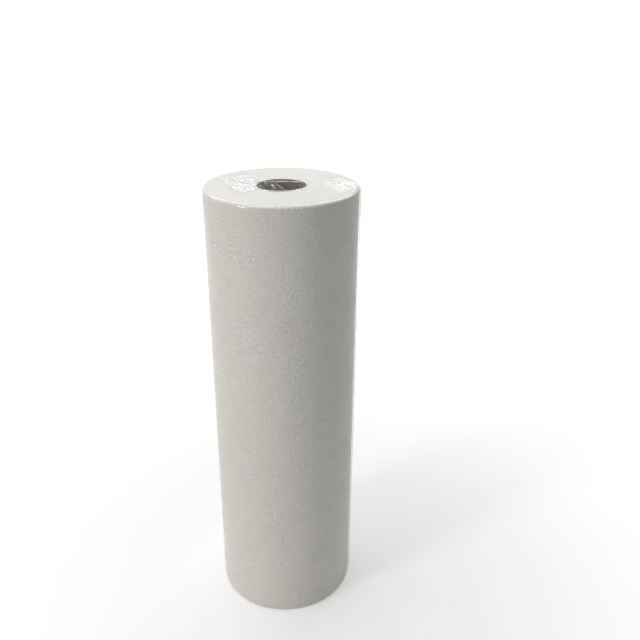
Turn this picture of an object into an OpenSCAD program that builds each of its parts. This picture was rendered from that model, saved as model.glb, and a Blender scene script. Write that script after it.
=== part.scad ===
// Exam table paper roll standing on one end: a web of creped two-ply tissue wound on a
// cardboard core, closed in clear shrink film. The film is a bag folded from one sheet, with
// a seal down one side and a seal across each end, shrunk on with heat. It draws back to an
// open eye over the core, and gathers in fans of pleats where the corners of the bag were.
// Millimetres. +Z runs along the core, and the roll stands on z = 0.

/* [Paper] */
// Width of the paper web, which is the height of the standing roll
web_w = 500; // [250:10:600]
// Diameter of the wound paper, measured at its loose end
roll_d = 159; // [120:1:220]
// Height of the step that the loose end makes on the turn below it
tail_step = 0.5; // [0.3:0.05:0.8]
// Direction of the loose end round the roll, in degrees from +X
tail_at = 125; // [90:5:270]
// Radius of the soft rim round both ends of the wound paper
rim_r = 3; // [1.5:0.25:4.5]

/* [Turn lines] */
// Distance between the turns that show as a spiral line on each end
turn_pitch = 2.5; // [1.5:0.25:5]
// Width of the line between two turns
turn_line_w = 0.5; // [0.2:0.05:0.8]
// Depth of the line between two turns
turn_line_d = 0.4; // [0.2:0.05:0.8]

/* [Core] */
// Bore of the cardboard core
core_bore = 50; // [36:1:60]
// Wall of the cardboard core
core_wall = 1; // [0.7:0.1:2]
// Room between the core and the first turn of paper
core_gap = 0.2; // [0.1:0.05:0.4]

/* [Film] */
// Thickness of the shrink film with the air trapped under it
film_t = 0.2; // [0.15:0.05:0.3]
// Room between the film and the wound paper at its widest
film_gap = 0.3; // [0.2:0.05:0.6]
// How far the edge of each eye stands back from the bore of the core
eye_margin = 0.5; // [0.2:0.05:0.6]
// Radius of the bead along the heat seals
seal_r = 0.45; // [0.3:0.05:0.8]
// Distance of the seal across each end from the axis of the core
end_seal_off = 12; // [-15:1:15]
// Direction of the side seal round the roll, in degrees from +X
side_seal_at = -4; // [-90:1:90]
// Radius of the thick edge that the film draws back to round the upper eye
eye_bead_r = 0.6; // [0.3:0.05:0.9]

/* [Pleats] */
// Angle of the wide fan of pleats, which spreads from the folded corner of the bag
wide_fan = 136; // [80:4:160]
// How far in from the rim the tip of that folded corner lies
corner_in = 10.5; // [8:0.5:14]
// Length of the longest pleat of the wide fan, from the tip
wide_reach = 48; // [30:2:54]
// Angle of the short fan of pleats, at the rim beside the side seal
short_fan = 66; // [40:2:90]
// Angle from one pleat of a fan to the next
pleat_step = 7; // [5:0.5:12]
// Height of the tallest pleat above the film
pleat_h = 0.7; // [0.3:0.1:1]
// Depth of the pleats that the weight of the roll presses into the lower end
pressed_d = 0.1; // [0.05:0.01:0.12]
// Width of a pressed pleat
pressed_w = 1.4; // [0.8:0.1:2]

/* [Creases] */
// Number of creases that shrinking leaves round the side
crease_count = 20; // [6:1:30]
// Length of the longest crease
crease_len = 46; // [20:2:70]
// Width of a crease
crease_w = 2; // [1:0.1:3]
// Height of a crease above the film
crease_h = 0.35; // [0.2:0.05:0.6]

/* [Hidden] */
$fn = 96;
// Facets round a bead
fine_fn = 24;

// Heights: the film passes under and over the paper
web_z0 = film_t;
web_z1 = web_z0 + web_w;
film_top = web_z1 + film_t;

// Radii, from the middle outwards
core_r = core_bore / 2 + core_wall;
web_ir = core_r + core_gap;
eye_r = core_bore / 2 + eye_margin;
roll_r = roll_d / 2;
sleeve_ir = roll_r + film_gap;
sleeve_or = sleeve_ir + film_t;
film_rim_ir = rim_r + film_gap;
film_rim_or = film_rim_ir + film_t;
flat_r = sleeve_or - film_rim_or;

// The spiral line starts inside the rim of the step and ends a whole turn outside the core
first_turn_r = roll_r - tail_step - rim_r - turn_line_w;
turn_count = floor((first_turn_r - web_ir) / turn_pitch) - 1;

// The root of every ridge lies half way into the film, so that none pierces it
root_in = film_t / 2;
seal_lift = seal_r - root_in;

// The end between the eye and the rim. The end seal is lost in the pleats half way.
end_w = flat_r - eye_r;
seal_stop_r = eye_r + 0.5 * end_w;

// Tip of the folded corner, on the line of the end seal opposite the side seal, and the angle
// between that line and the first pleat on each side of it
tip_r = flat_r - corner_in;
corner_tip = [-sqrt(pow(tip_r, 2) - pow(end_seal_off, 2)), end_seal_off];
seal_room = 7;
tip_room = 9;

// Fans of pleats on an end: the point that a fan spreads from, the directions between which
// it lies, the angle between its pleats, and how far from the point they start and stop. The
// end seal parts the wide fan in two. The last fan is a few tucks at the edge of the eye.
fans = [
    [corner_tip, -wide_fan / 2, -seal_room, pleat_step, tip_room, wide_reach],
    [corner_tip, seal_room, wide_fan / 2, pleat_step, tip_room, wide_reach],
    [[0, 0], 10 - short_fan / 2, 10 + short_fan / 2, 0.75 * pleat_step,
     eye_r + 0.53 * end_w, eye_r + 0.95 * end_w],
    [[0, 0], -62, -30, pleat_step, eye_r + 0.05 * end_w, eye_r + 0.4 * end_w]
];

// How far a pleat can run from a point before it meets the thick edge of the eye or the rim
pleat_room = 1;
function run_to_rim(p, u) = -p * u + sqrt(pow(p * u, 2) - p * p + pow(flat_r - pleat_room, 2));
function eye_cut(p, u) = pow(p * u, 2) - p * p + pow(eye_r + 2 * eye_bead_r + pleat_room, 2);
function run_from(p, u) = p * u < 0 && eye_cut(p, u) > 0
    ? -p * u - sqrt(eye_cut(p, u)) : run_to_rim(p, u);

// An angle that never repeats, to scatter pleats and creases, and a wave of it from 0 to 1
golden = 137.508;
function scatter(i) = (1 + sin(golden * i)) / 2;

// Half outline of a drum from the radius inner to the radius outer, with round rims
module drum_section(inner, outer, low, high, rim) {
    difference() {
        translate([inner, low]) square([outer - inner, high - low]);
        translate([outer - rim, high - rim]) rim_waste(rim);
        translate([outer - rim, low + rim]) mirror([0, 1]) rim_waste(rim);
    }
}

// What a round rim leaves of the square corner outside it
module rim_waste(rim) {
    difference() {
        square(2 * rim);
        circle(r = rim);
    }
}

// One turn of a spiral from two half circles: it starts at radius r and falls by fall.
// Each half hands its own radius to the section that it revolves.
module spiral_turn(r, fall) {
    translate([fall / 4, 0, 0])
        rotate_extrude(angle = 180)
            let($section_r = r - fall / 4) children();
    translate([-fall / 4, 0, 0])
        rotate(180)
            rotate_extrude(angle = 180)
                let($section_r = r - 3 * fall / 4) children();
}

// The wound paper before it is bored: its outer turn ends in a step
module wound_log() {
    spiral_turn(roll_r, tail_step)
        drum_section(0, $section_r, web_z0, web_z1, rim_r);
}

// The spiral line between turns, from the rim inwards, on the end at height z
module turn_lines(z) {
    for (i = [0:turn_count - 1])
        spiral_turn(first_turn_r - i * turn_pitch, turn_pitch)
            translate([$section_r - turn_line_w, z - turn_line_d])
                square([turn_line_w, 2 * turn_line_d]);
}

// Wound cardboard tube, sawn to the width of the web
module core_tube() {
    color("rosybrown")
        translate([0, 0, web_z0])
            difference() {
                cylinder(r = core_r, h = web_w);
                translate([0, 0, -1]) cylinder(d = core_bore, h = web_w + 2);
            }
}

// The whole web of tissue, with its loose end and its turns
module paper_roll() {
    color("whitesmoke")
        rotate(tail_at)
            difference() {
                wound_log();
                cylinder(r = web_ir, h = film_top);
                turn_lines(web_z0);
                turn_lines(web_z1);
            }
}

// Film of even thickness over the side, both rims and both ends, open over the core
module film_skin() {
    rotate_extrude()
        difference() {
            drum_section(eye_r, sleeve_or, 0, film_top, film_rim_or);
            drum_section(0, sleeve_ir, web_z0, web_z1, film_rim_ir);
        }
}

// Calls its children once for each pleat of every fan, turned to the pleat's direction,
// with $from and $span, its start and length from the point that the fan spreads from
module each_pleat() {
    for (fan = fans) {
        start = fan[4];
        count = floor((fan[2] - fan[1]) / fan[3]);
        step = (fan[2] - fan[1]) / count;
        for (i = [0:count - 1]) {
            turn = fan[1] + (i + 0.5 + 0.5 * (scatter(i + fan[1]) - 0.5)) * step;
            reach = min(fan[5], run_from(fan[0], [cos(turn), sin(turn)])) - start;
            $from = start + 0.35 * reach * scatter(2 * i + 5);
            $span = start + reach * (1 - 0.3 * scatter(3 * i + 1)) - $from;
            translate(fan[0]) rotate(turn) children();
        }
    }
}

// Outline of a pleat that tapers both ways from its widest place, with blunt tips
module kite(half_w) {
    tip = half_w / 8;
    widest = 0.65 * $span;
    polygon([[0, -tip], [widest, -half_w], [$span, -tip],
             [$span, tip], [widest, half_w], [0, tip]]);
}

// Gathered film that stands on the upper end in folds. Two kites leant against each other
// give a fold its triangular section.
module raised_pleats() {
    lean = 50;
    intersection() {
        each_pleat()
            translate([$from, 0, film_top])
                intersection_for(side = [-1, 1])
                    rotate([side * lean, 0, 0])
                        linear_extrude(6 * pleat_h, center = true) kite(pleat_h * sin(lean));
        translate([0, 0, film_top - root_in]) cylinder(r = sleeve_or, h = 2 * pleat_h);
    }
}

// The same pleats on the lower end, pressed flat into hollows
module pressed_pleats() {
    each_pleat()
        translate([$from, 0, -1]) linear_extrude(1 + pressed_d) kite(pressed_w / 2);
}

// Thick edge of the film round the upper eye
module eye_bead() {
    translate([0, 0, film_top + eye_bead_r - root_in])
        rotate_extrude()
            translate([eye_r + eye_bead_r, 0]) circle(r = eye_bead_r, $fn = fine_fn);
}

// Bead of a heat seal along the curve of a rim, from the side of the roll
module rim_bead(angle) {
    rotate([90, 0, 0])
        rotate_extrude(angle = angle)
            translate([film_rim_or + seal_lift, 0]) circle(r = seal_r, $fn = fine_fn);
}

// Bead of the heat seal across the upper end on both sides of the eye, drawn out to a point
// where it is lost in the pleats
module end_seal() {
    start = sqrt(pow(eye_r + eye_bead_r, 2) - pow(end_seal_off, 2));
    length = seal_stop_r - start;
    point = length / 3;
    for (side = [0, 1])
        mirror([side, 0, 0])
            translate([start, end_seal_off, film_top + seal_lift])
                rotate([0, 90, 0]) {
                    $fn = fine_fn;
                    cylinder(r = seal_r, h = length - point);
                    translate([0, 0, length - point])
                        cylinder(r1 = seal_r, r2 = root_in, h = point);
                }
}

// Bead of the heat seal down the side of the bag, over the upper rim and part of the way
// under the lower one
module side_seal() {
    under = 45;
    translate([sleeve_or + seal_lift, 0, film_rim_or])
        cylinder(r = seal_r, h = film_top - 2 * film_rim_or, $fn = fine_fn);
    translate([flat_r, 0, film_top - film_rim_or]) rim_bead(90);
    translate([flat_r, 0, film_rim_or]) mirror([0, 0, 1]) rim_bead(under);
}

// Hollows along both edges of the seal that the weight of the roll presses into the lower end
module pressed_seals() {
    start = eye_r + pressed_w;
    for (side = [0, 1], edge = [-1, 1])
        mirror([side, 0, 0])
            translate([start, end_seal_off + edge * (seal_r + pressed_w / 4) - pressed_w / 4, -1])
                cube([seal_stop_r - start, pressed_w / 2, 1 + pressed_d]);
}

// Sharp low creases round the side, each on a slight slope. A crease is the part of a ring
// of a smaller radius that comes out of the sleeve, so that it fades away at both ends.
// inset moves it in from the outer face of the film.
module creases(inset) {
    margin = film_rim_or + crease_len / 4;
    room = film_top - 2 * margin;
    intersection() {
        for (i = [0:crease_count - 1]) {
            half = crease_len / 2 * (0.4 + 0.6 * scatter(5 * i));
            ring_r = 1 / (1 / sleeve_or + 2 * crease_h / pow(half, 2));
            reach = 1.3 * half / ring_r * 180 / PI;
            slope = 8 * (scatter(7 * i + 3) - 0.5);
            translate([0, 0, margin + room * (i + 0.5) / crease_count])
                rotate(golden * i) rotate([slope, 0, 0])
                    translate([sleeve_or + crease_h - ring_r, 0, 0])
                        rotate(-reach) rotate_extrude(angle = 2 * reach)
                            crease_section(ring_r - inset);
        }
        difference() {
            cylinder(r = sleeve_or + 2 * crease_h, h = film_top);
            translate([0, 0, -1]) cylinder(r = sleeve_or - inset - root_in, h = film_top + 2);
        }
    }
}

// Section of a crease whose crest is at the radius r, as wide as a crease at its height
module crease_section(r) {
    polygon([[r - 2 * crease_h, -crease_w], [r, 0], [r - 2 * crease_h, crease_w]]);
}

// Clear film shrunk over the whole roll, modelled with its side seal towards +X and then
// turned. Its creases are hollow, as folded film is.
module shrink_film() {
    color("lightcyan", 0.4)
        rotate(side_seal_at) difference() {
            union() {
                film_skin();
                raised_pleats();
                eye_bead();
                end_seal();
                side_seal();
                creases(0);
            }
            creases(film_t);
            pressed_pleats();
            pressed_seals();
        }
}

core_tube();
paper_roll();
shrink_film();
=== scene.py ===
import math

import bmesh
import bpy
import numpy as np
from mathutils import Matrix, Vector, noise


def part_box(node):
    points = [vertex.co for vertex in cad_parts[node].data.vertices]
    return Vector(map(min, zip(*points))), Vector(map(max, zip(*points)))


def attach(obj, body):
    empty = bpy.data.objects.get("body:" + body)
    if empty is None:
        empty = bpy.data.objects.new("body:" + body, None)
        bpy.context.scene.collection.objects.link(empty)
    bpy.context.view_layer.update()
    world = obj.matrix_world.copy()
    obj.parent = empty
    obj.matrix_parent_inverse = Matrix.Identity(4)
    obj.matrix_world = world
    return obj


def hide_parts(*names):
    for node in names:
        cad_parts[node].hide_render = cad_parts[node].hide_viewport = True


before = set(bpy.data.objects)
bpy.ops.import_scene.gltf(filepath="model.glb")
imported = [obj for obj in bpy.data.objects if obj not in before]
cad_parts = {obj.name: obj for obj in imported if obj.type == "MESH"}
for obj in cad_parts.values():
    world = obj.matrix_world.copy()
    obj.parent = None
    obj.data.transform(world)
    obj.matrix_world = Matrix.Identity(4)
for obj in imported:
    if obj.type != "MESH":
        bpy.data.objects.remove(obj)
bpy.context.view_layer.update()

# Core tube
# A tube of three plies of kraft board, each a ribbon wound in a helix and glued to the next.
# It was sawn to the width of the paper web, so that the plies show at both ends.
MM = 0.001
core_low, core_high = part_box("core_tube")
core_outer_r = core_high.x
core_wall = 1 * MM
core_bore_r = core_outer_r - core_wall
core_edge = 0.2 * MM
core_near_end = 60 * MM
core_sides = 192
ribbon_pitch = 96 * MM
ply_step = 0.16 * MM
ply_step_from = 0.85
board_dent = 0.05 * MM
kraft_colour = (0.36, 0.315, 0.27, 1)
kraft_dark = (0.24, 0.205, 0.175, 1)
kraft_fibre = (0.50, 0.45, 0.39, 1)
ply_seam_colour = (0.04, 0.032, 0.026, 1)


def spin_outline(bm, outline, sides, closed):
    """Adds the surface that (radius, height) points make when they are spun round the core's
    axis. One sector is spun, and then doubled four times, which is faster than a full spin."""
    part = bmesh.new()
    corners = [part.verts.new((radius, 0, height)) for radius, height in outline]
    followers = corners[1:] + corners[:1] if closed else corners[1:]
    edges = [part.edges.new(pair) for pair in zip(corners, followers)]
    sector = 2 * math.pi / 16
    bmesh.ops.spin(part, geom=corners + edges, cent=(0, 0, 0), axis=(0, 0, 1),
                   angle=sector, steps=sides // 16, use_merge=False)
    for doubling in range(4):
        made = bmesh.ops.duplicate(part, geom=part.verts[:] + part.edges[:] + part.faces[:])["geom"]
        bmesh.ops.rotate(part, verts=[v for v in made if isinstance(v, bmesh.types.BMVert)],
                         cent=(0, 0, 0), matrix=Matrix.Rotation(sector * 2 ** doubling, 3, "Z"))
    bmesh.ops.remove_doubles(part, verts=part.verts, dist=1e-6)
    spun = bpy.data.meshes.new("spun")
    part.to_mesh(spun)
    part.free()
    bm.from_mesh(spun)
    bpy.data.meshes.remove(spun)


def levels(low, high, step):
    """Evenly spaced values from low to high, both included, about a step apart."""
    count = max(1, round(abs(high - low) / step))
    return [float(v) for v in np.linspace(low, high, count + 1)]


def finish_piece(bm, name, material, sharp_angle):
    """Makes the object, smooth but for edges sharper than the angle, and drops the bmesh."""
    mesh = bpy.data.meshes.new(name)
    bm.to_mesh(mesh)
    bm.free()
    mesh.shade_smooth()
    mesh.set_sharp_from_angle(angle=math.radians(sharp_angle))
    mesh.materials.append(material)
    piece = bpy.data.objects.new(name, mesh)
    bpy.context.scene.collection.objects.link(piece)
    return piece


def plug_in(tree, socket, value):
    """Wires another node's output into a socket, or sets the socket to a plain value."""
    if isinstance(value, bpy.types.NodeSocket):
        tree.links.new(value, socket)
    else:
        socket.default_value = value


def add_node(tree, kind, settings=None, **inputs):
    """Adds a node. Inputs are given by name, or as _0, _1 and so on by their place."""
    node = tree.nodes.new(kind)
    for key, value in (settings or {}).items():
        setattr(node, key, value)
    for key, value in inputs.items():
        plug_in(tree, node.inputs[int(key[1:]) if key[1:].isdigit() else key.replace("_", " ")], value)
    return node


def new_material(name):
    """A node material with nothing in it but its output node, and its node tree."""
    material = bpy.data.materials.new(name)
    material.use_nodes = True
    tree = material.node_tree
    tree.nodes.clear()
    return material, tree, add_node(tree, "ShaderNodeOutputMaterial")


def maths(tree, operation, *values):
    """A Math node of up to three values or sockets."""
    node = add_node(tree, "ShaderNodeMath", {"operation": operation})
    for socket, value in zip(node.inputs, values):
        plug_in(tree, socket, value)
    return node.outputs[0]


def blend_colours(tree, share, first, second):
    """The first colour, turning to the second as the share goes from 0 to 1."""
    return add_node(tree, "ShaderNodeMix", {"data_type": "RGBA"}, _0=share, _6=first, _7=second).outputs[2]


def spread(tree, value, low, high, to_low=0.0, to_high=1.0):
    """Maps a value from one range to another and clamps it there."""
    return add_node(tree, "ShaderNodeMapRange", _0=value, _1=low, _2=high, _3=to_low, _4=to_high).outputs[0]


def speckle(tree, place, scale, detail, **inputs):
    """The value of a Noise Texture node."""
    return add_node(tree, "ShaderNodeTexNoise", Vector=place, Scale=scale, Detail=detail, **inputs).outputs[0]


def kraft_board():
    """Grey-brown recycled board with fibres, and the dark seam between windings of the ribbon."""
    material, tree, output = new_material("kraft_board")
    place = add_node(tree, "ShaderNodeTexCoord").outputs["Object"]
    axes = add_node(tree, "ShaderNodeSeparateXYZ", Vector=place)
    angle = maths(tree, "ARCTAN2", axes.outputs["Y"], axes.outputs["X"])
    round_share = maths(tree, "DIVIDE", angle, 2 * math.pi)
    climb_share = maths(tree, "DIVIDE", axes.outputs["Z"], ribbon_pitch)
    winding = maths(tree, "FRACT", maths(tree, "SUBTRACT", round_share, climb_share))
    seam = spread(tree, maths(tree, "PINGPONG", winding, 0.5), 0.002, 0.008, 1.0, 0.0)
    lengthways = add_node(tree, "ShaderNodeMapping", Vector=place, Scale=(900, 900, 260)).outputs[0]
    fibres = speckle(tree, lengthways, 1.0, 4.0, Roughness=0.65)
    blotches = speckle(tree, place, 70.0, 3.0)
    base = blend_colours(tree, spread(tree, blotches, 0.35, 0.65), kraft_colour, kraft_dark)
    base = blend_colours(tree, spread(tree, fibres, 0.52, 0.75, 0, 0.55), base, kraft_fibre)
    base = blend_colours(tree, maths(tree, "MULTIPLY", seam, 0.75), base, ply_seam_colour)
    relief = maths(tree, "SUBTRACT", fibres, seam)
    bump = add_node(tree, "ShaderNodeBump", Strength=0.6, Distance=0.15 * MM, Height=relief)
    skin = add_node(tree, "ShaderNodeBsdfPrincipled", Base_Color=base, Roughness=0.88, Normal=bump.outputs[0])
    tree.links.new(skin.outputs[0], output.inputs["Surface"])
    return material


def lift_plies(bm):
    """Lifts the bore's surface towards one edge of the ribbon, so that each winding ends in a step."""
    for vert in bm.verts:
        radius = math.hypot(vert.co.x, vert.co.y)
        if radius > core_bore_r + core_wall / 2:
            continue
        winding = (math.atan2(vert.co.y, vert.co.x) / (2 * math.pi) - vert.co.z / ribbon_pitch) % 1
        lift = ply_step * max(0, winding - ply_step_from) / (1 - ply_step_from)
        dent = board_dent * noise.noise(vert.co * 160)
        vert.co.xy *= (radius + lift + dent) / radius


core_stations = levels(core_low.z + core_edge, core_low.z + core_near_end, 2 * MM)
core_stations += levels(core_low.z + core_near_end, core_high.z - core_near_end, 6 * MM)[1:]
core_stations += levels(core_high.z - core_near_end, core_high.z - core_edge, 1 * MM)[1:]
core_outline = [(core_bore_r, height) for height in core_stations]
core_outline += [(core_bore_r + core_edge, core_high.z)]
core_outline += [(core_outer_r - core_edge, core_high.z), (core_outer_r, core_high.z - core_edge)]
core_outline += [(core_outer_r, core_low.z + core_edge), (core_outer_r - core_edge, core_low.z)]
core_outline += [(core_bore_r + core_edge, core_low.z)]
core_mesh = bmesh.new()
spin_outline(core_mesh, core_outline, core_sides, closed=True)
bmesh.ops.recalc_face_normals(core_mesh, faces=core_mesh.faces)
lift_plies(core_mesh)
core_tube = finish_piece(core_mesh, "wound_core", kraft_board(), 40)
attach(core_tube, "root")
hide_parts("core_tube")

# Paper roll
# A single web of two-ply creped tissue, embossed to hold the plies together and wound tight on
# the core. Its outer turn ends in a loose edge, and both ends show the edges of all the turns.
paper_low, paper_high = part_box("paper_roll")
web_w = paper_high.z - paper_low.z
roll_r = 79.5 * MM
core_gap = 0.2 * MM
web_bore_r = core_outer_r + core_gap
rim_r = 3 * MM
rim_steps = 6
paper_sides = 256
tail_at = math.radians(125)
tail_step = 0.5 * MM
tail_edge_w = 0.2 * MM
tail_shadow_w = 1.6 * MM
tail_shadow_start = 0.3 * MM
turn_pitch = 2.5 * MM
turn_depth = 0.3 * MM
turn_line_w = 0.45 * MM
turn_ripple = 0.12 * MM
first_turn_r = roll_r - tail_step - rim_r - 0.5 * MM
side_swell = 0.16 * MM
emboss_pitch = 4.2 * MM
emboss_h, swell_h, crepe_h, turn_edge_h = 0.38, 0.45, 0.06, 0.2
# Side tone of the tissue, warmer than the ends' tone by a painted warm reflected light.
tissue_side_warm_bounce = (0.83, 0.805, 0.755, 1)
tissue_shade = (0.74, 0.71, 0.655, 1)
tissue_light = (0.83, 0.82, 0.79, 1)
tail_shadow_colour = (0.50, 0.475, 0.435, 1)


def rim_outline(middle_r, middle_z, radius, start, end, steps):
    """Points along a round rim, between two angles in degrees above the horizontal."""
    return [(middle_r + radius * math.cos(math.radians(a)), middle_z + radius * math.sin(math.radians(a)))
            for a in np.linspace(start, end, steps + 1)]


def side_mask_group():
    """A node group that gives 0 on the roll's ends and 1 on its side, between two distances from
    its axis, and the distance itself."""
    group = bpy.data.node_groups.new("side_mask", "ShaderNodeTree")
    group.interface.new_socket("Place", in_out="INPUT", socket_type="NodeSocketVector")
    group.interface.new_socket("End Radius", in_out="INPUT", socket_type="NodeSocketFloat")
    group.interface.new_socket("Side Radius", in_out="INPUT", socket_type="NodeSocketFloat")
    group.interface.new_socket("Mask", in_out="OUTPUT", socket_type="NodeSocketFloat")
    group.interface.new_socket("Radius", in_out="OUTPUT", socket_type="NodeSocketFloat")
    given = add_node(group, "NodeGroupInput").outputs
    flattened = add_node(group, "ShaderNodeMapping", Vector=given["Place"], Scale=(1, 1, 0)).outputs[0]
    radius = add_node(group, "ShaderNodeVectorMath", {"operation": "LENGTH"}, _0=flattened).outputs["Value"]
    mask = spread(group, radius, given["End Radius"], given["Side Radius"])
    add_node(group, "NodeGroupOutput", Mask=mask, Radius=radius)
    return group


def creped_tissue():
    """White tissue: embossed bumps, fine crepe lines across the web, and turn edges on the ends.
    Its colour holds painted shade between the bumps, along the turn edges and beside the loose
    edge, and the side's tone is warmer than the ends' by a painted warm reflected light. The
    relief is in millimetres, and the pattern on the side starts and ends at the loose edge."""
    material, tree, output = new_material("creped_tissue")
    place = add_node(tree, "ShaderNodeTexCoord").outputs["Object"]
    mask = add_node(tree, "ShaderNodeGroup", {"node_tree": side_mask}, Place=place,
                    End_Radius=roll_r - 2.2 * MM, Side_Radius=roll_r - 0.8 * MM).outputs
    on_side, radius = mask["Mask"], mask["Radius"]

    from_tail = add_node(tree, "ShaderNodeVectorRotate", {"rotation_type": "Z_AXIS"}, Vector=place,
                         Angle=math.pi - tail_at)
    turned = add_node(tree, "ShaderNodeSeparateXYZ", Vector=from_tail.outputs[0])
    angle = maths(tree, "ARCTAN2", turned.outputs["Y"], turned.outputs["X"])
    round_side = maths(tree, "MULTIPLY", angle, roll_r)
    unrolled = add_node(tree, "ShaderNodeCombineXYZ", X=round_side, Y=turned.outputs["Z"])
    cells = add_node(tree, "ShaderNodeTexVoronoi", {"feature": "SMOOTH_F1", "voronoi_dimensions": "2D"},
                     Vector=unrolled.outputs[0], Scale=1 / emboss_pitch, Smoothness=0.25, Randomness=0.8)
    pressed = spread(tree, speckle(tree, place, 42.0, 2.0), 0.36, 0.6, 0.25, 1.0)
    bumps = maths(tree, "MULTIPLY", spread(tree, cells.outputs["Distance"], 0.08, 0.48, 1.0, 0.0), pressed)
    swell = speckle(tree, place, 70.0, 3.0)
    up_web = add_node(tree, "ShaderNodeMapping", Vector=place, Scale=(1300, 1300, 210)).outputs[0]
    crepe = speckle(tree, up_web, 1.0, 3.0, Roughness=0.6)
    side_relief = maths(tree, "MULTIPLY_ADD", swell, swell_h, maths(tree, "MULTIPLY", crepe, crepe_h))
    side_relief = maths(tree, "MULTIPLY_ADD", bumps, emboss_h, side_relief)

    wavy_r = maths(tree, "MULTIPLY_ADD", speckle(tree, place, 35.0, 2.0), 1.6 * MM, radius)
    turn_edges = add_node(tree, "ShaderNodeTexNoise", {"noise_dimensions": "1D"}, W=wavy_r, Scale=1700.0,
                          Detail=3.0, Roughness=0.7).outputs[0]
    end_relief = maths(tree, "MULTIPLY", turn_edges, turn_edge_h)
    relief = add_node(tree, "ShaderNodeMix", {"data_type": "FLOAT"}, _0=on_side, _2=end_relief,
                      _3=side_relief).outputs[0]
    bump = add_node(tree, "ShaderNodeBump", Strength=1.0, Distance=MM, Height=relief).outputs[0]

    # Painted shade between the emboss bumps, over the side's warm tone, and painted shadow beside the loose
    # edge.
    base = blend_colours(tree, maths(tree, "MULTIPLY", bumps, 0.8), tissue_shade, tissue_side_warm_bounce)
    base = blend_colours(tree, 0.4, base, tissue_side_warm_bounce)
    tail_line = math.pi * roll_r
    in_shadow = spread(tree, round_side, tail_line - tail_shadow_w, tail_line - tail_shadow_start, 0.0, 0.8)
    base = blend_colours(tree, in_shadow, base, tail_shadow_colour)
    # Painted shade along the turn edges of the ends.
    end_colour = blend_colours(tree, spread(tree, turn_edges, 0.6, 0.3, 0, 0.3), tissue_light, tissue_shade)
    colour = blend_colours(tree, on_side, end_colour, base)
    skin = add_node(tree, "ShaderNodeBsdfPrincipled", Base_Color=colour, Roughness=0.92, Normal=bump)
    tree.links.new(skin.outputs[0], output.inputs["Surface"])
    return material


def wind_web(bm):
    """Draws the outer turn in along a spiral up to its loose edge, and sinks a line between the
    turns on both ends. The angle is counted from the loose edge."""
    for vert in bm.verts:
        x, y, z = vert.co
        radius = math.hypot(x, y)
        share = (math.atan2(y, x) / (2 * math.pi)) % 1
        if share > 1 - 1.5 / paper_sides:
            share = 1 - tail_edge_w / (2 * math.pi * roll_r)
            vert.co.xy = radius * Vector((math.cos(2 * math.pi * share), math.sin(2 * math.pi * share)))
        outer = min(1, max(0, (radius - (roll_r - 8 * MM)) / (5 * MM)))
        inward = tail_step * share * outer
        if web_bore_r + 1 * MM < radius < roll_r - rim_r - 1 * MM:
            lines = ((first_turn_r - radius) / turn_pitch - share) % 1
            line = math.exp(-(min(lines, 1 - lines) * turn_pitch / turn_line_w) ** 2)
            end = 1 if z > web_w / 2 else -1
            vert.co.z -= end * turn_depth * line
            vert.co.z += end * turn_ripple * (noise.noise(Vector((radius * 420, 0, end))) - 0.5)
        swell = 0.0
        if radius > roll_r - 2 * MM:
            swell = side_swell * (noise.noise(vert.co * 45) + 0.6 * noise.noise(vert.co * 130) - 0.5)
        scale = (radius - inward + swell) / radius
        vert.co.x *= scale
        vert.co.y *= scale


top_rings = levels(web_bore_r, roll_r - rim_r, 0.75 * MM)
side_rings = levels(paper_high.z - rim_r, paper_low.z + rim_r, 4.2 * MM)
foot_rings = levels(roll_r - rim_r, web_bore_r, 1.5 * MM)
bore_rings = levels(paper_low.z, paper_high.z, 50 * MM)
web_outline = [(radius, paper_high.z) for radius in top_rings[:-1]]
web_outline += rim_outline(roll_r - rim_r, paper_high.z - rim_r, rim_r, 90, 0, rim_steps)
web_outline += [(roll_r, height) for height in side_rings[1:-1]]
web_outline += rim_outline(roll_r - rim_r, paper_low.z + rim_r, rim_r, 0, -90, rim_steps)
web_outline += [(radius, paper_low.z) for radius in foot_rings[1:]]
web_outline += [(web_bore_r, height) for height in bore_rings[1:-1]]
web_mesh = bmesh.new()
spin_outline(web_mesh, web_outline, paper_sides, closed=True)
bmesh.ops.recalc_face_normals(web_mesh, faces=web_mesh.faces)
wind_web(web_mesh)
web_mesh.transform(Matrix.Rotation(tail_at, 4, "Z"))
side_mask = side_mask_group()
paper_roll = finish_piece(web_mesh, "wound_paper", creped_tissue(), 50)
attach(paper_roll, "root")
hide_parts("paper_roll")

# Shrink film
# A bag of clear film folded from one sheet, sealed down one side and across each end, and shrunk
# on with heat. It gathers in pleats and fine ridges where its corners were, puckers round the
# core, and keeps slack folds and an opening over the core's mouth.
film_t = 0.2 * MM
film_gap = 0.3 * MM
sleeve_r = roll_r + film_gap + film_t
film_rim_r = rim_r + film_gap + film_t
film_flat_r = sleeve_r - film_rim_r
film_top = paper_high.z + film_t
lining_in = 0.15 * MM
eye_r = core_bore_r + 0.5 * MM
eye_bead_r = 0.6 * MM
lip_r = 10 * MM
lip_h = 0.25 * MM
tuck_h = 0.3 * MM
end_seal_off = 12 * MM
side_seal_at = math.radians(-4)
side_seal_w = 1 * MM
seal_r = 0.45 * MM
opening_middle = Vector((9 * MM, -4 * MM))
opening_slant = Vector((-0.91, -0.414))
opening_slant_off = 9 * MM
pleat_h = 0.7 * MM
pleat_w = 1.5 * MM
end_w = film_flat_r - eye_r
tip_r = film_flat_r - 10.5 * MM
corner_tip = Vector((-math.sqrt(tip_r ** 2 - end_seal_off ** 2), end_seal_off))
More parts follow.
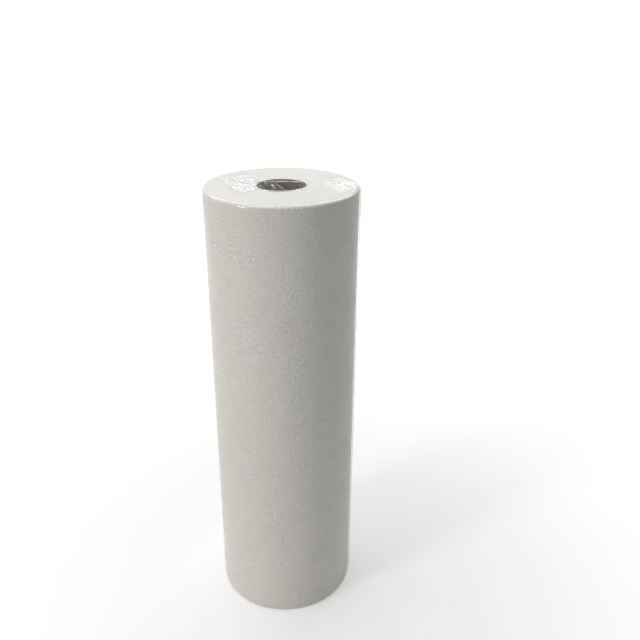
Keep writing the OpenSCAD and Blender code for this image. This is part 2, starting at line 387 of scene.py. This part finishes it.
fans = [  # point that a fan spreads from, first and last direction and step in degrees, start, stop
    (corner_tip, -68, -7, 7, 9 * MM, 48 * MM),
    (corner_tip, 7, 68, 7, 9 * MM, 48 * MM),
    (Vector((0, 0)), -23, 43, 5.25, eye_r + 0.53 * end_w, eye_r + 0.95 * end_w),
    (Vector((0, 0)), -62, -30, 7, eye_r + 0.05 * end_w, eye_r + 0.4 * end_w),
]
patch_middle = Vector((66 * MM, 6 * MM))
patch_r = 26 * MM
crinkle_h = 0.4 * MM
core_fold_w, core_fold_h, core_fold_bend = 1.3 * MM, 0.8 * MM, 1 * MM
core_folds = [
    (Vector((-19 * MM, 16 * MM)), Vector((-14 * MM, 1 * MM))),
    (Vector((-12 * MM, 15 * MM)), Vector((-5 * MM, -18 * MM))),
    (Vector((-23 * MM, 6 * MM)), Vector((-19 * MM, -12 * MM))),
]
golden = 137.508
crease_count = 20
crease_len = 46 * MM
crease_w = 2 * MM
crease_h = 0.35 * MM
slant_w, slant_h, slant_bend = 1.2 * MM, 0.32 * MM, 0.6 * MM
slant_creases = [  # direction round the roll in degrees and height in mm of both ends
    (-152, 470, -139, 456), (-145, 473, -133, 471), (-150, 462, -141, 447),
    (-101, 464, -90, 466), (-99, 460.5, -89, 463), (-110, 452, -98, 452.5), (-104, 456, -97, 457),
    (-84, 470, -79, 474), (-76, 457, -72, 462), (-92, 443, -82, 445), (-125, 449, -121, 455),
]
end_sides, sleeve_sides, lining_sides = 400, 160, 80
wrinkle_h, ridge_h, grain_h = 0.14, 0.16, 0.1
film_clear = (0.985, 0.985, 0.98, 1)
# Painted shade: the film's see-through colour where shade falls in its folds and over the core's mouth.
film_painted_shade = (0.86, 0.86, 0.85, 1)
film_milky = (0.97, 0.97, 0.965, 1)
film_inside = (0.99, 0.99, 0.985, 1)


def scatter(i):
    """A number from 0 to 1 that never repeats."""
    return (1 + math.sin(math.radians(golden * i))) / 2


def smooth_step(low, high, value):
    """0 below low and 1 above high, with a smooth way between."""
    t = np.clip((value - low) / (high - low), 0, 1)
    return t * t * (3 - 2 * t)


def round_from(angle, start):
    """Length along the sleeve from one direction to another, the shorter way round."""
    return ((angle - start + math.pi) % (2 * math.pi) - math.pi) * sleeve_r


def run_from(point, along):
    """How far a pleat can run from a point before it meets the edge of the eye or the rim."""
    towards = point.dot(along)
    eye_cut = towards ** 2 - point.length_squared + (eye_r + 2 * eye_bead_r + 1 * MM) ** 2
    if towards < 0 < eye_cut:
        return -towards - math.sqrt(eye_cut)
    return -towards + math.sqrt(towards ** 2 - point.length_squared + (film_flat_r - 1 * MM) ** 2)


def fold_ridge(x, y, start, along, span, width, height, bend):
    """Height of one fold that starts at a point and swells and tapers along a direction."""
    s = ((x - start.x) * along.x + (y - start.y) * along.y) / span
    t = (y - start.y) * along.x - (x - start.x) * along.y
    t = t + bend * np.sin(math.pi * np.clip(s, 0, 1))
    swell = np.where(s < 0.65, s / 0.65, (1 - s) / 0.35)
    swell = np.clip(swell, 0, 1) ** 0.6
    return height * swell * np.clip(1 - np.abs(t) / (width * (0.35 + 0.65 * swell)), 0, 1) ** 1.2


def fold_heights(x, y):
    """Height of the gathered film above the end: the pleats of each fan, a finer one beside
    each, and the slack folds over the core's mouth."""
    height = np.zeros_like(x)
    for point, first, last, step, start, stop in fans:
        count = int((last - first) / step)
        for i in range(count):
            turn = math.radians(first + (i + 0.5 + 0.5 * (scatter(i + first) - 0.5)) * (last - first) / count)
            along = Vector((math.cos(turn), math.sin(turn)))
            reach = min(stop, run_from(point, along)) - start
            near = start + 0.35 * reach * scatter(2 * i + 5)
            span = start + reach * (1 - 0.3 * scatter(3 * i + 1)) - near
            foot = point + along * near
            bend = 1.6 * MM * (scatter(11 * i + 2) - 0.5)
            pleat = fold_ridge(x, y, foot, along, span, pleat_w, pleat_h, bend)
            foot += Vector((-along.y, along.x)) * 2.4 * MM * (scatter(i) - 0.3)
            finer = fold_ridge(x, y, foot, along, 0.7 * span, 0.6 * pleat_w, 0.5 * pleat_h, -bend)
            height = np.maximum.reduce([height, pleat, finer])
    for start, end in core_folds:
        along = (end - start).normalized()
        fold = fold_ridge(x, y, start, along, (end - start).length, core_fold_w, core_fold_h, core_fold_bend)
        height = np.maximum(height, fold)
    return height


def crease_heights(angle, z):
    """Height of the creases of the side: low ridges all round it, nearly level, that fade out at
    both ends, and the short slanting ones near the top."""
    height = np.zeros_like(z)
    margin = film_rim_r + crease_len / 4
    room = film_top - 2 * margin
    for i in range(crease_count):
        half = crease_len / 2 * (0.4 + 0.6 * scatter(5 * i))
        slope = math.radians(8 * (scatter(7 * i + 3) - 0.5))
        along = round_from(angle, math.radians(golden * i))
        across = z - (margin + room * (i + 0.5) / crease_count) - along * math.tan(slope)
        fade = np.clip(1 - (along / half) ** 2, 0, 1)
        height = np.maximum(height, crease_h * fade * np.clip(1 - np.abs(across) / crease_w, 0, 1))
    for from_turn, from_z, to_turn, to_z in slant_creases:
        start = Vector((0, from_z * MM))
        run = Vector((math.radians(to_turn - from_turn) * sleeve_r, (to_z - from_z) * MM))
        along = round_from(angle, math.radians(from_turn) - side_seal_at)
        crease = fold_ridge(along, z, start, run.normalized(), run.length, slant_w, slant_h, slant_bend)
        height = np.maximum(height, crease)
    return height


def opening_reach(angle):
    """Distance from the middle of the film's opening to its edge: part of the bore's circle, cut
    off by a slanting edge on the left and by the seal at the back."""
    cos, sin = np.cos(angle), np.sin(angle)
    along = opening_middle.x * cos + opening_middle.y * sin
    to_circle = -along + np.sqrt(along ** 2 + (eye_r - 0.6 * MM) ** 2 - opening_middle.length_squared)
    towards_slant = np.clip(opening_slant.x * cos + opening_slant.y * sin, 1e-6, None)
    to_slant = opening_slant_off / towards_slant
    to_seal = (end_seal_off - 0.8 * MM - opening_middle.y) / np.clip(sin, 1e-6, None)
    power = 9.0
    return (to_circle ** -power + to_slant ** -power + to_seal ** -power) ** (-1 / power)


def gather_film(x, y, radius, picked):
    """How tightly the film of the end is gathered at each picked point, how high it crinkles, and
    where the point lies along and across the ridges that are drawn out from the tip of its fan."""
    gathered = np.zeros(len(x))
    crinkle = np.zeros(len(x))
    streaks = np.zeros((len(x), 3))
    for i in picked:
        point = Vector((x[i], y[i], 0))
        left = x[i] < 0
        from_tip = point.xy - corner_tip if left else point.xy
        reach = from_tip.length
        turn = math.atan2(from_tip.y, from_tip.x)
        streaks[i] = (9 * turn, 60 * reach, 3 * left)
        if radius[i] < eye_r:
            share = 0.12
        elif left:
            far = (46 + 14 * smooth_step(0, 0.6, -turn)) * MM
            share = smooth_step(1 * MM, 7 * MM, reach) * (1 - smooth_step(far - 12 * MM, far, reach))
            share *= 1 - smooth_step(math.radians(48), math.radians(68), abs(turn))
        else:
            share = min(1.0, 2.2 * max(0.0, 1 - (point.xy - patch_middle).length / patch_r))
        gathered[i] = share
        if share > 0:
            ridges = 1 - 2.5 * abs(noise.noise(point * 190)) - 0.5 * abs(noise.noise(point * 420))
            crinkle[i] = share * crinkle_h * max(0.0, ridges)
    return gathered, crinkle, streaks


def shape_film(mesh):
    """Moves the spun film's points into pleats, seals, creases and the edge of its opening, and
    keeps where it is folded, gathered and slack as attributes for the material."""
    count = len(mesh.vertices)
    points = np.empty(count * 3)
    mesh.vertices.foreach_get("co", points)
    x, y, z = points.reshape(-1, 3).T.copy()
    radius = np.hypot(x, y)
    angle = np.arctan2(y, x)
    half_in = lining_in / 2
    past_flat = np.maximum(radius - film_flat_r, 0)
    past_wall = np.maximum(np.abs(z - film_top / 2) - film_top / 2 + film_rim_r, 0)
    outer = (z > film_top - half_in) | (z < half_in) | (radius > sleeve_r - half_in)
    outer |= np.hypot(past_flat, past_wall) > film_rim_r - half_in
    upper = z > film_top / 2

    reach = opening_reach(angle)
    q = np.clip((eye_r - radius) / (eye_r - lip_r), 0, 1)
    over_hole = (radius < eye_r) & upper
    hole_x = ((1 - q) * eye_r + q * reach) * np.cos(angle) + q * opening_middle.x
    hole_y = ((1 - q) * eye_r + q * reach) * np.sin(angle) + q * opening_middle.y
    x = np.where(over_hole, hole_x, x)
    y = np.where(over_hole, hole_y, y)

    on_end = upper & outer & (radius < film_flat_r + 1 * MM)
    seal_line = 1.8 * seal_r * np.clip(1 - ((y - end_seal_off) / seal_r) ** 2, 0, None) ** 0.5
    seal_line *= 1 - smooth_step(48 * MM, 52 * MM, radius)
    tucks = tuck_h * np.clip(np.sin(34 * angle + 2 * np.sin(5 * angle)), 0, 1)
    tucks *= smooth_step(eye_r - 1 * MM, eye_r + 1 * MM, radius)
    tucks *= 1 - smooth_step(eye_r + 2 * MM, eye_r + 7 * MM, radius)
    bead = 1.6 * eye_bead_r * np.exp(-((radius - eye_r - 0.6 * MM) / (0.7 * MM)) ** 2)
    bead *= 1 - 0.8 * smooth_step(8 * MM, 12 * MM, y) - 0.8 * smooth_step(-12 * MM, -20 * MM, x)
    lip = lip_h * smooth_step(0.85, 1.0, q)
    folds = np.maximum.reduce([fold_heights(x, y), seal_line, tucks, bead, lip])
    gathered, crinkle, streaks = gather_film(x, y, radius, np.flatnonzero(on_end))
    lift = np.maximum(np.where(on_end, folds, 0), crinkle)

    on_side = outer & (radius > sleeve_r - 0.01 * MM)
    on_wall = outer & (radius > film_flat_r) & (z > film_rim_r)
    side_seal = 1.6 * seal_r * np.clip(1 - (angle * sleeve_r / side_seal_w) ** 2, 0, 1) ** 0.5
    out_r = np.where(on_side, crease_heights(angle, z), 0)
    out_r = np.where(on_wall, np.maximum(out_r, side_seal), out_r)
    steep = np.clip(past_flat / film_rim_r, 0, 1)
    x += out_r * np.cos(angle) * steep
    y += out_r * np.sin(angle) * steep
    lift = lift + np.where(upper, out_r * (1 - steep), 0)
    z = z + np.where(upper, lift, 0)

    mesh.vertices.foreach_set("co", np.column_stack([x, y, z]).ravel())
    masks = {
        "fold": np.clip(lift / pleat_h + 0.7 * out_r / crease_h, 0, 1),
        "gathered": gathered,
        "slack": 1 - smooth_step(eye_r - 1.5 * MM, eye_r, radius),
    }
    for name, values in masks.items():
        mesh.attributes.new(name, "FLOAT", "POINT").data.foreach_set("value", values.astype(np.float32))
    layer = mesh.attributes.new("streaks", "FLOAT_VECTOR", "POINT")
    layer.data.foreach_set("vector", streaks.astype(np.float32).ravel())


def clear_film():
    """Clear glossy film: it mirrors a little, more at a glance. It is milky on the crest of a fold.
    Its see-through colour carries painted shade: darker along the foot of a fold, beside the
    wrinkles of the side, between the gathered ridges and over the core's mouth. The relief is in
    millimetres."""
    material, tree, output = new_material("clear_film")
    place = add_node(tree, "ShaderNodeTexCoord").outputs["Object"]
    folded = add_node(tree, "ShaderNodeAttribute", {"attribute_name": "fold"}).outputs["Fac"]
    gathered = add_node(tree, "ShaderNodeAttribute", {"attribute_name": "gathered"}).outputs["Fac"]
    slack = add_node(tree, "ShaderNodeAttribute", {"attribute_name": "slack"}).outputs["Fac"]
    streaks = add_node(tree, "ShaderNodeAttribute", {"attribute_name": "streaks"}).outputs["Vector"]
    beside = add_node(tree, "ShaderNodeGroup", {"node_tree": side_mask}, Place=place,
                      End_Radius=film_flat_r, Side_Radius=sleeve_r).outputs["Mask"]

    level = add_node(tree, "ShaderNodeMapping", Vector=place, Scale=(48, 48, 300)).outputs[0]
    waves = speckle(tree, level, 1.0, 2.0, Roughness=0.45, Distortion=0.6)
    from_crest = maths(tree, "ABSOLUTE", maths(tree, "SUBTRACT", waves, 0.5))
    from_foot = maths(tree, "ABSOLUTE", maths(tree, "SUBTRACT", from_crest, 0.035))
    grouped = maths(tree, "MULTIPLY", spread(tree, speckle(tree, place, 30.0, 1.0), 0.47, 0.6), beside)
    wrinkle = maths(tree, "MULTIPLY", spread(tree, from_crest, 0.0, 0.03, 1.0, 0.0), grouped)
    # Painted shade beside each wrinkle of the side.
    wrinkle_foot_shade = maths(tree, "MULTIPLY", spread(tree, from_foot, 0.0, 0.015, 1.0, 0.0), grouped)

    drawn = speckle(tree, streaks, 1.0, 2.0, Roughness=0.5, Distortion=0.5)
    crossing = speckle(tree, place, 150.0, 1.5, Roughness=0.5, Distortion=0.9)
    off_ridge = maths(tree, "ABSOLUTE", maths(tree, "SUBTRACT", drawn, 0.5))
    off_cross = maths(tree, "ABSOLUTE", maths(tree, "SUBTRACT", crossing, 0.5))
    ridge = maths(tree, "MAXIMUM", spread(tree, off_ridge, 0.0, 0.07, 1.0, 0.0),
                  spread(tree, off_cross, 0.0, 0.05, 0.7, 0.0))
    ridge = maths(tree, "MULTIPLY", ridge, gathered)
    # Painted shade between the gathered ridges.
    valley_shade = maths(tree, "MULTIPLY", spread(tree, off_ridge, 0.09, 0.14), gathered)

    relief = maths(tree, "MULTIPLY", speckle(tree, place, 420.0, 2.0), grain_h)
    relief = maths(tree, "MULTIPLY_ADD", ridge, ridge_h, relief)
    relief = maths(tree, "MULTIPLY_ADD", wrinkle, wrinkle_h, relief)
    bump = add_node(tree, "ShaderNodeBump", Strength=1.0, Distance=MM, Height=relief).outputs[0]
    facing = add_node(tree, "ShaderNodeLayerWeight", Blend=0.5, Normal=bump).outputs["Facing"]
    mirrored = maths(tree, "MULTIPLY_ADD", maths(tree, "POWER", facing, 5.0), 0.42, 0.05)
    mirrored = maths(tree, "MULTIPLY", mirrored, spread(tree, slack, 0.0, 1.0, 1.0, 0.2))
    mirrored = maths(tree, "MULTIPLY", mirrored, maths(tree, "MULTIPLY_ADD", gathered, 1.3, 1.0))

    # Painted shade: the see-through colour darkens along the foot of folds, beside side wrinkles, between
    # gathered ridges and over the core's mouth.
    fold_foot_shade = spread(tree, folded, 0.18, 0.4, 1.0, 0.0)
    fold_foot_shade = maths(tree, "MULTIPLY", spread(tree, folded, 0.02, 0.12), fold_foot_shade)
    painted_shade = maths(tree, "MULTIPLY", fold_foot_shade, spread(tree, beside, 0.0, 1.0, 0.6, 0.25))
    for mask, amount in ((wrinkle_foot_shade, 0.45), (valley_shade, 0.8), (slack, 0.6)):
        painted_shade = maths(tree, "MAXIMUM", painted_shade, maths(tree, "MULTIPLY", mask, amount))
    shaded_tint = blend_colours(tree, painted_shade, film_clear, film_painted_shade)
    through = add_node(tree, "ShaderNodeBsdfTransparent", Color=shaded_tint)
    milky = add_node(tree, "ShaderNodeBsdfPrincipled", Base_Color=film_milky, Roughness=0.35, Normal=bump)
    haze = maths(tree, "MULTIPLY_ADD", maths(tree, "POWER", folded, 1.4), 0.8, 0.01)
    haze = maths(tree, "MULTIPLY_ADD", wrinkle, 0.22, haze)
    haze = maths(tree, "MULTIPLY_ADD", ridge, 0.75, haze)
    body = add_node(tree, "ShaderNodeMixShader", _0=haze, _1=through.outputs[0], _2=milky.outputs[0])
    gloss = add_node(tree, "ShaderNodeBsdfGlossy", Color=(1, 1, 1, 1), Roughness=0.14, Normal=bump)
    skin = add_node(tree, "ShaderNodeMixShader", _0=mirrored, _1=body.outputs[0], _2=gloss.outputs[0])
    tree.links.new(skin.outputs[0], output.inputs["Surface"])
    return material


def film_underside():
    """The inner face of the film, which clings to the paper and so mirrors nothing."""
    material, tree, output = new_material("film_underside")
    through = add_node(tree, "ShaderNodeBsdfTransparent", Color=film_inside)
    tree.links.new(through.outputs[0], output.inputs["Surface"])
    return material


def join_loops(bm, *circles):
    """Bridges the open edges of the spun film that lie on two circles of (radius, height)."""
    edges = [edge for edge in bm.edges if edge.is_boundary
             and any(all(abs(math.hypot(v.co.x, v.co.y) - radius) < 1e-6 and abs(v.co.z - height) < 1e-6
                         for v in edge.verts) for radius, height in circles)]
    bmesh.ops.bridge_loops(bm, edges=edges)


fine_to = film_top - film_rim_r - 62 * MM
coarse_from = fine_to - 1 * MM
lip_rings = levels(lip_r, eye_r, 1.3 * MM)
end_rings = levels(eye_r, film_flat_r, 0.85 * MM)
end_outline = [(radius, film_top) for radius in lip_rings[:-1] + end_rings[:-1]]
end_outline += rim_outline(film_flat_r, film_top - film_rim_r, film_rim_r, 90, 0, 7)
end_outline += [(sleeve_r, height) for height in levels(film_top - film_rim_r, fine_to, 1.05 * MM)[1:]]
sleeve_outline = [(sleeve_r, height) for height in levels(coarse_from, film_rim_r, 2.5 * MM)[:-1]]
sleeve_outline += rim_outline(film_flat_r, film_rim_r, film_rim_r, 0, -90, 5)
sleeve_outline += [(radius, 0) for radius in levels(film_flat_r, eye_r, 3 * MM)[1:]]
lining_rim_r = film_rim_r - lining_in
lining_top = film_top - lining_in
lining_outline = [(radius, lining_in) for radius in levels(eye_r, film_flat_r, 10 * MM)[:-1]]
lining_outline += rim_outline(film_flat_r, film_rim_r, lining_rim_r, -90, 0, 4)
lining_outline += rim_outline(film_flat_r, film_top - film_rim_r, lining_rim_r, 0, 90, 4)
lining_outline += [(radius, lining_top) for radius in levels(film_flat_r, eye_r, 10 * MM)[1:]]
lining_outline += [(radius, lining_top) for radius in levels(eye_r, lip_r, 5 * MM)[1:]]

film_mesh = bmesh.new()
spin_outline(film_mesh, end_outline, end_sides, closed=False)
spin_outline(film_mesh, sleeve_outline, sleeve_sides, closed=False)
outer_faces = len(film_mesh.faces)
spin_outline(film_mesh, lining_outline, lining_sides, closed=False)
film_mesh.faces.ensure_lookup_table()
for face in film_mesh.faces[outer_faces:]:
    face.material_index = 1
join_loops(film_mesh, (sleeve_r, fine_to), (sleeve_r, coarse_from))
join_loops(film_mesh, (lip_r, film_top), (lip_r, lining_top))
join_loops(film_mesh, (eye_r, 0), (eye_r, lining_in))
bmesh.ops.recalc_face_normals(film_mesh, faces=film_mesh.faces)
film_wrap = finish_piece(film_mesh, "film_wrap", clear_film(), 60)
film_wrap.data.materials.append(film_underside())
shape_film(film_wrap.data)
film_wrap.data.transform(Matrix.Rotation(side_seal_at, 4, "Z"))
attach(film_wrap, "root")
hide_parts("shrink_film")

# Floor
# A plain pale studio floor, far wider than the view. It glows to white away from the roll, and
# keeps the roll's shadow close to it.
floor_size = 30
floor_fade = (0.45, 1.9)
floor_grey = (0.62, 0.62, 0.62, 1)
floor_far_grey = (0.04, 0.04, 0.04, 1)
glow_fade = (0.15, 1.25)
glow_near = 0.36


def seen_directly(tree):
    """1 for a ray from the camera, a mirror or clear film, and 0 for the light on a surface."""
    paths = add_node(tree, "ShaderNodeLightPath").outputs
    seen = maths(tree, "MAXIMUM", paths["Is Camera Ray"], paths["Is Glossy Ray"])
    return maths(tree, "MAXIMUM", seen, paths["Is Transmission Ray"])


def pale_floor():
    """Pale grey near the roll, turning dark far away, under a glow that rises to white."""
    material, tree, output = new_material("studio_floor")
    place = add_node(tree, "ShaderNodeTexCoord").outputs["Object"]
    distance = add_node(tree, "ShaderNodeVectorMath", {"operation": "LENGTH"}, _0=place).outputs["Value"]
    colour = blend_colours(tree, spread(tree, distance, *floor_fade), floor_grey, floor_far_grey)
    skin = add_node(tree, "ShaderNodeBsdfDiffuse", Color=colour)
    glow = add_node(tree, "ShaderNodeMapRange", {"interpolation_type": "SMOOTHSTEP"}, _0=distance,
                    _1=glow_fade[0], _2=glow_fade[1], _3=glow_near, _4=1.0).outputs[0]
    strength = maths(tree, "MULTIPLY", seen_directly(tree), glow)
    white = add_node(tree, "ShaderNodeEmission", Color=(1, 1, 1, 1), Strength=strength)
    both = add_node(tree, "ShaderNodeAddShader", _0=skin.outputs[0], _1=white.outputs[0])
    tree.links.new(both.outputs[0], output.inputs["Surface"])
    return material


floor_mesh = bmesh.new()
bmesh.ops.create_grid(floor_mesh, x_segments=8, y_segments=8, size=floor_size)
studio_floor = finish_piece(floor_mesh, "studio_floor", pale_floor(), 30)

# Light
# A pale room with soft light from above, a lamp at the left that rakes across the side, and small
# lamps behind the roll, which the folds of the film mirror as specks of light.
room_light = 0.38
lamps = [  # name, place, height of the point on the roll's axis that it faces, size, watts
    ("overhead_lamp", (-0.5, 0.0, 2.1), 0.4, 1.0, 10),
    ("left_lamp", (-1.75, -1.1, 1.0), 0.3, 0.45, 16),
    ("back_lamp", (0.2, 1.3, 1.45), 0.5, 0.35, 3),
    ("back_left_lamp", (-0.42, 1.25, 1.45), 0.5, 0.35, 3),
    ("back_right_lamp", (0.75, 1.1, 1.4), 0.5, 0.35, 3),
    ("far_left_lamp", (-1.0, 0.97, 1.3), 0.5, 0.3, 2),
]
for name, place, aim_z, size, watts in lamps:
    lamp = bpy.data.lights.new(name, "AREA")
    lamp.shape = "SQUARE"
    lamp.size = size
    lamp.energy = watts
    lamp_object = bpy.data.objects.new(name, lamp)
    lamp_object.location = place
    towards_roll = Vector((0, 0, aim_z)) - Vector(place)
    lamp_object.rotation_euler = towards_roll.to_track_quat("-Z", "Y").to_euler()
    bpy.context.scene.collection.objects.link(lamp_object)

world = bpy.data.worlds.new("pale_room")
world.use_nodes = True
room_tree = world.node_tree
room_tree.nodes.clear()
room_strength = spread(room_tree, seen_directly(room_tree), 0.0, 1.0, room_light, 1.0)
room = add_node(room_tree, "ShaderNodeBackground", Color=(1, 1, 1, 1), Strength=room_strength)
add_node(room_tree, "ShaderNodeOutputWorld", Surface=room.outputs[0])
bpy.context.scene.world = world
bpy.context.scene.view_settings.view_transform = "Standard"

# Camera
# It stands where the photograph was taken from, above the roll and close to it, and is turned a
# little about its own line of sight.
camera_place = Vector((0, -0.7101, 0.6806))
look = Vector((0.0512, 0.9050, -0.4225)).normalized()
camera_roll = math.radians(0.507)
level_right = look.cross(Vector((0, 0, 1))).normalized()
level_up = level_right.cross(look)
camera_right = math.cos(camera_roll) * level_right + math.sin(camera_roll) * level_up
camera_up = -math.sin(camera_roll) * level_right + math.cos(camera_roll) * level_up
camera_turn = Matrix((camera_right, camera_up, -look)).transposed().to_4x4()
camera = bpy.data.cameras.new("camera")
camera.sensor_width = 36
camera.lens = 40
camera_object = bpy.data.objects.new("camera", camera)
camera_object.matrix_world = Matrix.Translation(camera_place) @ camera_turn
bpy.context.scene.collection.objects.link(camera_object)
bpy.context.scene.camera = camera_object
